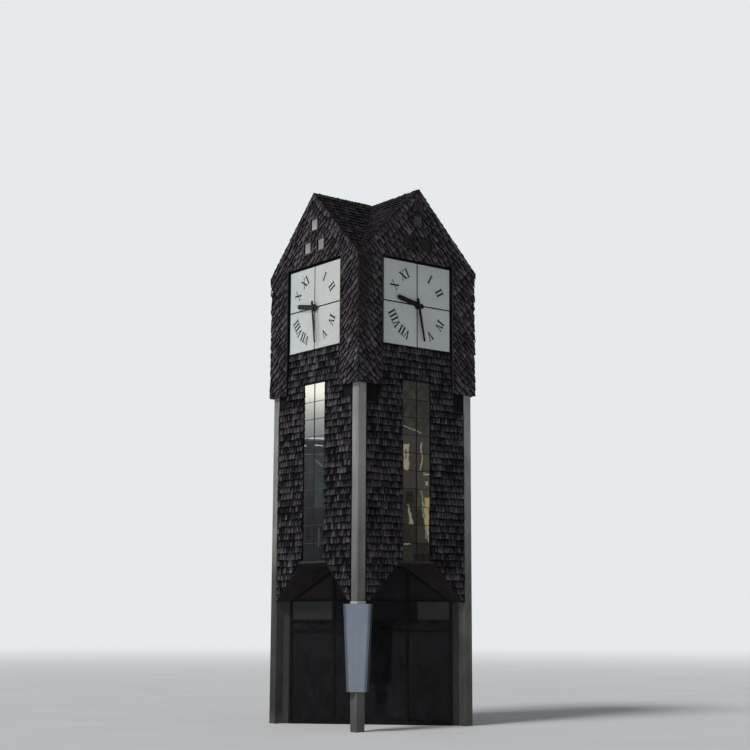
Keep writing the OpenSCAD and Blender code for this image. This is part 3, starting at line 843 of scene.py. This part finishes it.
def shaft_shingles(side):
    """Level courses up to the dial, less the window, the porch opening, the boxes and the bare boards."""
    flank, name = side in FLANKS, SIDES[side]
    porch_top = LEAN_FOOT - round(LINING_TOP - SPRING, 4) * LEAN
    porch = [(-LEAN_FOOT, SPRING), (LEAN_FOOT, SPRING), (porch_top, LINING_TOP), (-porch_top, LINING_TOP)]
    box = BAY - 0.012
    boxes = [rect(box, BOX_FOOT, BEYOND, OVER_BAY), rect(-BEYOND, BOX_FOOT, -box, OVER_BAY)]
    inner = COLUMN_IN - BARE_WIDTH
    bare = [rect(u, BARE_FOOT[name], u + 1, BOX_FOOT + 0.03) for u in (inner, -inner - 1)]
    window = rect(-CASING, UNDER_WINDOW, CASING + 0.018 * flank, WINDOW_TOP + 0.04)
    field = rect(-COLUMN_IN + 0.003, SPRING, COLUMN_IN - 0.003, DIAL_FOOT - 0.011)
    bag = Bag()
    shingles(bag, facade(side), WALL, 90, field, [window, porch] + boxes + bare, 100 * side + 1,
             origin=(0.03, 0.0), **SHAFT_STYLE)
    bag.build(name + "_shaft_shingles", shaft_shingle if flank else shaft_shingle_soft, "wall_shingles")


def head_style(side):
    """Direction, style and material of diagonal courses, which climb to the front left or back right."""
    flank = side in FLANKS
    style = dict(HEAD_STYLE, lean=HEAD_LEAN if flank else -HEAD_LEAN)
    return 45 if flank else 135, style, head_shingle if flank else head_shingle_soft


def head_shingles(side):
    """Diagonal courses over the corner boxes and the gable, less the dial's bay and the small windows."""
    name, (angle, style, material) = SIDES[side], head_style(side)
    house = [(-HEAD, BOX_FOOT), (HEAD, BOX_FOOT), (HEAD, GABLE_TOP - HEAD), (0, GABLE_TOP - 0.004),
             (-HEAD, GABLE_TOP - HEAD)]
    bay = rect(-BAY - 0.028, UNDER_HEAD, BAY + 0.028, BAY_TOP + 0.004)
    hole = SMALL + 0.005
    lights = [rect(u - hole, z - hole, u + hole, z + hole) for u, z in SMALL_WINDOWS]
    holes = [bay] + lights + BARE_SPOTS.get(name, [])
    bag = Bag()
    shingles(bag, facade(side), HEAD, angle, house, holes, 100 * side + 2,
             ragged=(0.02, 0.052, 0, 0, 0.052), thick=0.78, wild=0.08,
             rise=lambda u, z: 0.020 * min(1, max(0, 1 - (GABLE_TOP - abs(u) - z) / 0.5)), **style)
    bag.build(name + "_head_shingles", material, "wall_shingles")


def verge_shingles(side):
    """The same courses, thinner, on the roof's edge over the gable."""
    angle, style, material = head_style(side)
    bag = Bag()
    for s in (1, -1):
        band = [(0, GABLE_TOP + 0.006), (s * ROOF_EDGE, GABLE_TOP - ROOF_EDGE + 0.006),
                (s * ROOF_EDGE, RIDGE - ROOF_EDGE + 0.012), (0, RIDGE + 0.012)]
        clear = [(s * (HEAD - 0.01), GABLE_TOP - HEAD - 0.3), (s * BEYOND, GABLE_TOP - HEAD - 0.3),
                 (s * BEYOND, GABLE_TOP - BEYOND), (s * (HEAD - 0.01), GABLE_TOP - HEAD + 0.01)]
        ragged = (0.07, 0, 0.012, 0)
        if s < 0:
            band, clear, ragged = band[::-1], clear[::-1], (0.012, 0, 0.07, 0)
        shingles(bag, facade(side), ROOF_EDGE, angle, band, [clear], 100 * side + 3 + s, thick=0.2,
                 ragged=ragged, wild=0, **style)
    bag.build(SIDES[side] + "_verge_shingles", material, "roof_shingles")


def roof_shingles(side, ridge_bag):
    """Courses on both slopes of a gable's roof, and the lapped pieces along its arm of the ridge."""
    bag = Bag()
    for right in (True, False):
        axes, far = slope(side, right), -ROOF_EDGE if right else ROOF_EDGE
        valley_foot = (far, -ROOF_EDGE * math.sqrt(2))
        field, ragged = [valley_foot, (0, 0), (far, 0)], (-0.034, 0, 0.003)
        strip = rect(far, -RIDGE_LAP, 0, RIDGE_HEIGHT)
        valley = [(0, 0), (-3, -3 * math.sqrt(2)), (0, -5)]
        if not right:
            field, ragged = [(0, 0), valley_foot, (far, 0)], (-0.034, 0.003, 0)
            strip = rect(0, -RIDGE_LAP, far, RIDGE_HEIGHT)
            valley = [(0, 0), (0, -5), (3, -3 * math.sqrt(2))]
        shingles(bag, axes, 0, 90, field, [], 100 * side + 6 + right, ragged=ragged, **ROOF_STYLE)
        shingles(ridge_bag, axes, 0.010, 0 if right else 180, strip, [valley], 100 * side + 8 + right,
                 **RIDGE_STYLE)
    bag.build(SIDES[side] + "_roof_shingles", roof_shingle, "roof_shingles")


ridge_bag = Bag()
for side in range(4):
    shaft_shingles(side)
    head_shingles(side)
    verge_shingles(side)
    roof_shingles(side, ridge_bag)
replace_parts(ridge_bag.build("ridge_shingles", ridge_shingle, "ridge_shingles"), "ridge_caps")


# Boards and bars

LET_IN = 0.002
BOARD_GAP = 0.0015
BAR_HALF, MULLION_HALF = 0.009, 0.015
LIGHT_IN, LIGHT_OUT = 0.003, 0.474


def both_sides(a, b):
    """A stretch to the right of a facade's middle line, after its mirror image on the left."""
    return (-b, -a), (a, b)


def wall_boards(side):
    """Plain boards beside and over the dial and over the tall window."""
    axes, bag = facade(side), Bag()
    back, face = WALL - LET_IN, WALL + 0.014
    for a, b in both_sides(DIAL + 0.003, BAY - 0.001):
        board(bag, axes, (a, DIAL_FOOT - 0.011, back), (b, BAY_TOP - 0.001, face))
    board(bag, axes, (-DIAL, DIAL_TOP + 0.003, back), (DIAL, BAY_TOP - 0.001, face))
    board(bag, axes, (-0.488, WINDOW_TOP + 0.002, back), (0.488, WINDOW_TOP + 0.042, WALL + 0.012))
    bag.build(SIDES[side] + "_dark_boards", dark_board, "wall_shingles")


def edge_boards(side):
    """Upright trims where the corner boxes meet the dial's bay."""
    bag = Bag()
    for a, b in both_sides(BAY + 0.001, BAY + 0.026):
        board(bag, facade(side), (a, BOX_FOOT - 0.004, HEAD - 0.02), (b, BAY_TOP + 0.01, HEAD + 0.026))
    bag.build(SIDES[side] + "_edge_boards", trim_board, "wall_shingles")


def window_sill(side):
    bag = Bag()
    board(bag, facade(side), (-0.57, LINING_TOP, WALL - 0.01), (0.57, PANE_FOOT + 0.01, WALL + 0.040))
    bag.build(SIDES[side] + "_sill_board", sill_board, "wall_shingles")


def apex_boards():
    """Boards that show where shingles are gone under the front apex."""
    u0, z0, u1, z1 = APEX_PATCH
    bag = Bag()
    edges = np.linspace(u0, u1, 5)
    for a, b in zip(edges, edges[1:]):
        lo, hi = (a + BOARD_GAP, z0 - 0.005, HEAD - LET_IN), (b - BOARD_GAP, z1 + 0.005, HEAD + 0.013)
        board(bag, facade(0), lo, hi)
    bag.build("front_apex_boards", sill_board, "wall_shingles")


def bare_boards(side):
    """Three upright boards beside each column's head, where the shaft has no shingles."""
    bag, foot = Bag(), BARE_FOOT[SIDES[side]] - 0.05
    edges = np.linspace(COLUMN_IN - BARE_WIDTH - 0.03, COLUMN_IN - 0.004, 4)
    for s in (-1, 1):
        for a, b in zip(edges, edges[1:]):
            a, b = sorted((s * (a + BOARD_GAP), s * (b - BOARD_GAP)))
            board(bag, facade(side), (a, foot, WALL - LET_IN), (b, BOX_FOOT - 0.002, WALL + 0.009))
    bag.build(SIDES[side] + "_bare_boards", patch_board, "wall_shingles")


def tall_window(side, pane_bag):
    """Two strips of panes, the bars between their rows and the mullion between the strips."""
    axes, name, flank, back = facade(side), SIDES[side], side in FLANKS, GLASS - 0.001
    bag = Bag()
    bars = both_sides(0.013, LIGHT_OUT)
    for (a, b), (c, d) in zip(both_sides(LIGHT_IN, LIGHT_OUT), bars):
        board(pane_bag, axes, (a, PANE_FOOT - 0.012, FRAME_FACE + 0.0005), (b, PANE_TOP + 0.012, GLASS),
              0.0005)
        for row in range(1, PANE_ROWS):
            z = PANE_FOOT + row * PANE
            board(bag, axes, (c, z - BAR_HALF, back), (d, z + BAR_HALF, GLASS + 0.006), 0.002, 0.5)
    # The flanks take the lit copy and the front and back the shaded copy, as painted light and shade
    bag.build(name + "_window_bars", bar_paint_lit if flank else bar_brown_shaded, "window_metal")
    bag = Bag()
    lo, hi = (-MULLION_HALF, PANE_FOOT - 0.01, back), (MULLION_HALF, PANE_TOP + 0.01, GLASS + 0.009)
    board(bag, axes, lo, hi, 0.002, 0.5)
    bag.build(name + "_window_mullion", window_paint if flank else bar_brown_shaded, "window_metal")


pane_bag = Bag()
for side in range(4):
    wall_boards(side)
    edge_boards(side)
    window_sill(side)
    if SIDES[side] == "front":
        apex_boards()
    bare_boards(side)
    tall_window(side, pane_bag)
panes = pane_bag.build("tall_window_panes", pane, "panes")
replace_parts(panes, "tall_window_glass")


# Dials: numerals 0.25 m tall on a circle, drawn as strokes 1 high, and the joints between the four sheets
NUMERALS = {1: "I", 2: "II", 4: "IV", 5: "V", 7: "VII", 8: "VIII", 10: "X", 11: "XI"}
TALL = 0.25
NUMERAL_CIRCLE = 0.95
SERIF_HALF = 0.034
JOINT_HALF = 0.0185
BUSH_HOLE, RIM_OUT, RIM_SIDES = 0.047, 0.105, 48


def serifs(places, bottom=True, top=True):
    """Flat strips over and under a letter's stems, from their middles and half widths."""
    return [rect(x - half, z - SERIF_HALF, x + half, z + SERIF_HALF)
            for z, there in ((0.5, top), (-0.5, bottom)) if there for x, half in places]


def strokes(letter):
    """Outlines of one roman letter, 1 high, about its own middle, and its width."""
    if letter == "I":
        return [rect(-0.10, -0.45, 0.10, 0.45), *serifs([(0, 0.205)])], 0.445
    if letter == "V":
        return [[(-0.33, 0.47), (-0.14, 0.47), (0.07, -0.5), (-0.03, -0.5)],
                [(0.19, 0.47), (0.28, 0.47), (0.07, -0.5), (-0.03, -0.5)],
                *serifs([(-0.235, 0.15), (0.235, 0.13)], bottom=False)], 0.74
    return [[(-0.37, 0.47), (-0.15, 0.47), (0.38, -0.47), (0.16, -0.47)],
            [(0.22, 0.47), (0.31, 0.47), (-0.22, -0.47), (-0.31, -0.47)],
            *serifs([(-0.26, 0.18), (0.265, 0.15)], bottom=False),
            *serifs([(-0.265, 0.15), (0.27, 0.18)], top=False)], 0.98


def dial_numerals(side):
    bag = Bag()
    for hour, text in NUMERALS.items():
        widths = [strokes(letter)[1] for letter in text]
        x = -sum(widths) / 2
        turn = math.radians(30 * hour)
        at = np.array([math.sin(turn), math.cos(turn)]) * NUMERAL_CIRCLE
        across, up = np.array([math.cos(turn), -math.sin(turn)]), np.array([math.sin(turn), math.cos(turn)])
        for letter, w in zip(text, widths):
            for n, shape in enumerate(strokes(letter)[0]):
                points = [at + ((u + x + w / 2) * across + v * up) * TALL + (0, DIAL_Z) for u, v in shape]
                face = DIAL_FACE + 0.0035 + 0.0002 * n
                prism(bag, facade(side), points, DIAL_FACE - 0.001, face, chamfer=0.0008)
            x += w
    bag.build(SIDES[side] + "_numerals", hand_paint, "hand_metal")


def dial_joints(side):
    """Strips in the gaps between the four sheets, and the rim of the bush that the hands turn in."""
    axes, bag, back = facade(side), Bag(), WALL + 0.013
    for a, b in both_sides(BUSH_HOLE, DIAL - 0.001):
        board(bag, axes, (a, DIAL_Z - JOINT_HALF, back), (b, DIAL_Z + JOINT_HALF, DIAL_FACE - 0.010))
        board(bag, axes, (-JOINT_HALF, DIAL_Z + a, back), (JOINT_HALF, DIAL_Z + b, DIAL_FACE - 0.002))
    ring = [(math.cos(a), math.sin(a)) for a in np.linspace(0, 2 * math.pi, RIM_SIDES, endpoint=False)]
    for k in range(RIM_SIDES):
        points = [(r * u, r * z + DIAL_Z) for (u, z), r in (
            (ring[k - 1], BUSH_HOLE), (ring[k - 1], RIM_OUT), (ring[k], RIM_OUT), (ring[k], BUSH_HOLE))]
        prism(bag, axes, points, DIAL_FACE, DIAL_FACE + 0.026, chamfer=0.0)
    bag.build(SIDES[side] + "_dial_joints", joint_black, "hand_metal")


for side in range(4):
    dial_numerals(side)
    dial_joints(side)


# Camera and sun

CAMERA = (-25.164, -32.355, 2.972)
YAW, PITCH, ROLL = -38.0055, 9.6466, 0.26
FOCAL, PIXELS, SENSOR = 1423.387, 750, 36.0
view = Matrix.Translation(CAMERA)
for angle, axis in ((YAW, "Z"), (90 + PITCH, "X"), (ROLL, "Z")):
    view = view @ Matrix.Rotation(math.radians(angle), 4, axis)
camera_data = bpy.data.cameras.new("camera")
camera_data.sensor_fit = "HORIZONTAL"
camera_data.sensor_width = SENSOR
camera_data.lens = FOCAL / PIXELS * SENSOR
camera_data.clip_end = 900
camera = bpy.data.objects.new("camera", camera_data)
camera.matrix_world = view
scene.collection.objects.link(camera)
scene.camera = camera

sun_data = bpy.data.lights.new("soft_sun", "SUN")
sun_data.energy = 1.68
sun_data.angle = math.radians(16)
sun_data.color = (1.0, 0.985, 0.95)
sun = bpy.data.objects.new("soft_sun", sun_data)
sun.rotation_euler = Vector((-1.0, -0.08, 1.2)).to_track_quat("Z", "Y").to_euler()
scene.collection.objects.link(sun)


# World: an even studio sky, and what the glass mirrors instead, as bands and patches of light and dark

world = bpy.data.worlds.new("studio")
scene.world = world
world.use_nodes = True
sky = Nodes(world.node_tree)
background = sky.tree.nodes["Background"]
direction = sky.add("ShaderNodeTexCoord").outputs["Generated"]
steep = sky.split(direction)[2]
ray = sky.add("ShaderNodeLightPath").outputs
even = sky.ramp(sky.span(steep, -0.1, 1.0), (0.0, (0.098, 0.102, 0.107)), (1.0, (0.26, 0.272, 0.294)))
shown = sky.mix(ray["Is Camera Ray"], even, (0.80, 0.82, 0.84))
sky.tree.links.new(shown, background.inputs["Color"])

# Colours by the steepness of the view, as shares of the brightest, for the left and the front glass
left_view = sky.ramp(
    steep, (0.0, (0.014, 0.014, 0.017)), (0.060, (0.016, 0.016, 0.020)), (0.098, (0.040, 0.042, 0.046)),
    (0.1112, (0.043, 0.053, 0.057)), (0.1122, (0.034, 0.037, 0.044)), (0.1228, (0.034, 0.037, 0.044)),
    (0.1233, (0.21, 0.225, 0.23)), (0.1375, (0.38, 0.39, 0.37)), (0.150, (0.76, 0.75, 0.68)),
    (0.154, (1.12, 1.08, 0.93)), (0.166, (1.05, 1.02, 0.92)), (0.174, (0.40, 0.40, 0.38)),
    (0.190, (0.20, 0.20, 0.21)), (0.249, (0.34, 0.32, 0.30)), (0.2590, (0.17, 0.175, 0.19)),
    (0.2650, (0.42, 0.41, 0.38)), (0.2745, (0.18, 0.185, 0.20)), (0.45, (0.34, 0.36, 0.40)))
front_view = sky.ramp(
    steep, (0.0, (0.021, 0.019, 0.015)), (0.0640, (0.024, 0.020, 0.015)), (0.0645, (0.032, 0.028, 0.023)),
    (0.089, (0.026, 0.023, 0.019)), (0.0895, (0.050, 0.040, 0.035)), (0.126, (0.056, 0.046, 0.042)),
    (0.1270, (0.033, 0.032, 0.025)), (0.20, (0.018, 0.019, 0.016)), (0.245, (0.005, 0.0045, 0.0045)),
    (0.2630, (0.005, 0.0045, 0.0045)), (0.2655, (0.024, 0.021, 0.025)), (0.42, (0.10, 0.105, 0.115)))

# Patches of that view: the heights on the window between which they show, their colour, from where to where
# they go at their foot, and at their top where that differs
FRONT_PATCHES = (
    (5.95, 6.95, (0.062, 0.054, 0.043), (0.03, 0.50)),
    (4.98, 5.47, (0.042, 0.036, 0.028), (0.02, 0.50)),
    (8.02, 8.22, (0.16, 0.16, 0.14), (0.10, 0.24), (-0.53, -0.39)),
    (6.99, 7.73, (0.31, 0.285, 0.19), (-0.475, -0.29), (-0.475, -0.27)),
    (7.30, 7.60, (0.09, 0.075, 0.06), (-0.42, -0.35)),
    (7.00, 7.75, (0.25, 0.25, 0.23), (0.12, 0.17), (0.19, 0.24)),
    (7.00, 7.45, (0.057, 0.070, 0.031), (0.25, 0.50)),
    (6.83, 6.87, (0.30, 0.29, 0.27), (0.23, 0.46)),
    (6.91, 6.94, (0.30, 0.29, 0.27), (0.23, 0.44)),
    (6.56, 6.66, (0.28, 0.27, 0.26), (0.30, 0.40)),
    (5.10, 6.45, (0.26, 0.27, 0.30), (0.370, 0.392), (0.150, 0.178)),
    (5.50, 6.40, (0.13, 0.13, 0.14), (0.355, 0.370), (0.215, 0.230)),
    (5.47, 6.22, (0.35, 0.275, 0.115), (0.34, 0.50), (0.28, 0.50)),
    (5.00, 5.47, (0.31, 0.26, 0.14), (0.44, 0.455), (0.35, 0.50)),
    (5.50, 6.05, (0.24, 0.25, 0.14), (-0.26, -0.10), (-0.28, -0.255)),
    (6.10, 6.40, (0.013, 0.013, 0.010), (-0.34, -0.08)),
    (4.93, 4.975, (0.20, 0.19, 0.17), (-0.50, -0.22), (-0.46, -0.24)),
    (4.48, 4.86, (0.021, 0.026, 0.014), (-0.50, -0.12), (-0.50, -0.20)),
    (4.48, 4.69, (0.011, 0.0085, 0.0085), (-0.10, 0.50)))
LEFT_PATCHES = (
    (7.895, 7.935, (0.60, 0.62, 0.61), (-0.50, 0.50)),
    (7.700, 7.730, (0.50, 0.52, 0.52), (0.10, 0.44), (0.12, 0.44)),
    (7.685, 7.720, (0.40, 0.41, 0.41), (-0.50, -0.34), (-0.50, -0.36)),
    (7.440, 7.462, (0.12, 0.125, 0.13), (-0.50, 0.50)),
    (7.120, 7.290, (0.11, 0.12, 0.12), (0.37, 0.48), (0.02, 0.11)),
    (5.97, 6.95, (0.036, 0.047, 0.049), (0.02, 0.50)),
    (4.90, 5.42, (0.050, 0.054, 0.060), (0.22, 0.31)))


def speckle(scale):
    """Where small spots stand in a mirrored view."""
    return sky.span(sky.noise(direction, scale, 3.0, 0.6), 0.45, 0.65)


def level_across(side):
    """Level direction square to what a facade mirrors to the camera."""
    out = facade(side)[3]
    level = np.array([-CAMERA[0], -CAMERA[1], 0]) / math.hypot(CAMERA[0], CAMERA[1])
    level = level - 2 * (level @ out) * out
    return np.array([-level[1], level[0], 0])


def mirrored_at(side, u, z):
    """How far across and how steeply the view goes that a tall window mirrors at a point of its glass."""
    axes = facade(side)
    line = to_world(axes, (u, z, GLASS)) - CAMERA
    line = line - 2 * (line @ axes[3]) * axes[3]
    line /= np.linalg.norm(line)
    return float(line @ level_across(side)), float(line[2])


def patched(view, side, patches):
    """Lays slanting patches over a mirrored view."""
    across = sky.dot(direction, tuple(level_across(side)))
    for z0, z1, colour, *ends in patches:
        low, high = mirrored_at(side, 0, z0)[1], mirrored_at(side, 0, z1)[1]
        foot = sorted(mirrored_at(side, u, z0)[0] for u in ends[0])
        top = sorted(mirrored_at(side, u, z1)[0] for u in ends[-1])
        start, end = (sky.span(steep, low, high, foot[i], top[i]) for i in (0, 1))
        inside = sky.times(sky.calc("GREATER_THAN", across, start), sky.calc("LESS_THAN", across, end),
                           sky.calc("GREATER_THAN", steep, low), sky.calc("LESS_THAN", steep, high))
        view = sky.mix(inside, view, colour)
    return view


mottled = sky.times(speckle((260, 260, 200)), sky.span(steep, 0.126, 0.128),
                    sky.span(steep, 0.200, 0.180, 0.0, 0.7))
front_view = sky.mix(mottled, front_view, (0.060, 0.062, 0.050))
mottled = sky.times(speckle((120, 120, 60)), sky.span(steep, 0.1228, 0.1220, 0.0, 0.35))
left_view = sky.mix(mottled, left_view, (0.022, 0.024, 0.026))
front_view = patched(front_view, 0, FRONT_PATCHES)
left_view = patched(left_view, 3, LEFT_PATCHES)
towards_left = sky.span(sky.dot(direction, (-0.62, 0.785, 0.0)), -0.3, 0.4)
mirrored = sky.mix(towards_left, front_view, left_view)
mirror = sky.add("ShaderNodeBackground", {"Color": mirrored, "Strength": 5.0})
both = sky.add("ShaderNodeMixShader",
               {0: ray["Is Glossy Ray"], 1: background.outputs[0], 2: mirror.outputs[0]})
sky.tree.links.new(both.outputs[0], sky.tree.nodes["World Output"].inputs["Surface"])


# Floor: pale, and fading into the sky's own colour far away

floor_look = Look("studio_floor", Roughness=1.0, Specular_IOR_Level=0.0, Emission_Strength=1.0)
ground = floor_look.place()
x, y, _ = floor_look.split(ground)
away = floor_look.calc("SQRT", floor_look.plus(floor_look.times(x, x), floor_look.times(y, y)))
far = floor_look.add("ShaderNodeMapRange", {0: away, 1: 14.0, 2: 120.0},
                     interpolation_type="SMOOTHERSTEP").outputs[0]
cloud = floor_look.noise(ground, 0.35, 3.0)
pale = floor_look.ramp(cloud, (0.3, (0.76, 0.77, 0.78)), (0.7, (0.80, 0.81, 0.82)))
floor_look.wire(Base_Color=floor_look.mix(far, pale, (0.0, 0.0, 0.0)),
                Emission_Color=floor_look.mix(far, (0.0, 0.0, 0.0), (0.80, 0.82, 0.84)))
bpy.ops.mesh.primitive_circle_add(vertices=96, radius=500, fill_type="NGON", location=(0, 0, -0.002))
floor = bpy.context.object
floor.name = "studio_floor"
floor.data.materials.append(floor_look.material)

scene.view_settings.view_transform = "Standard"
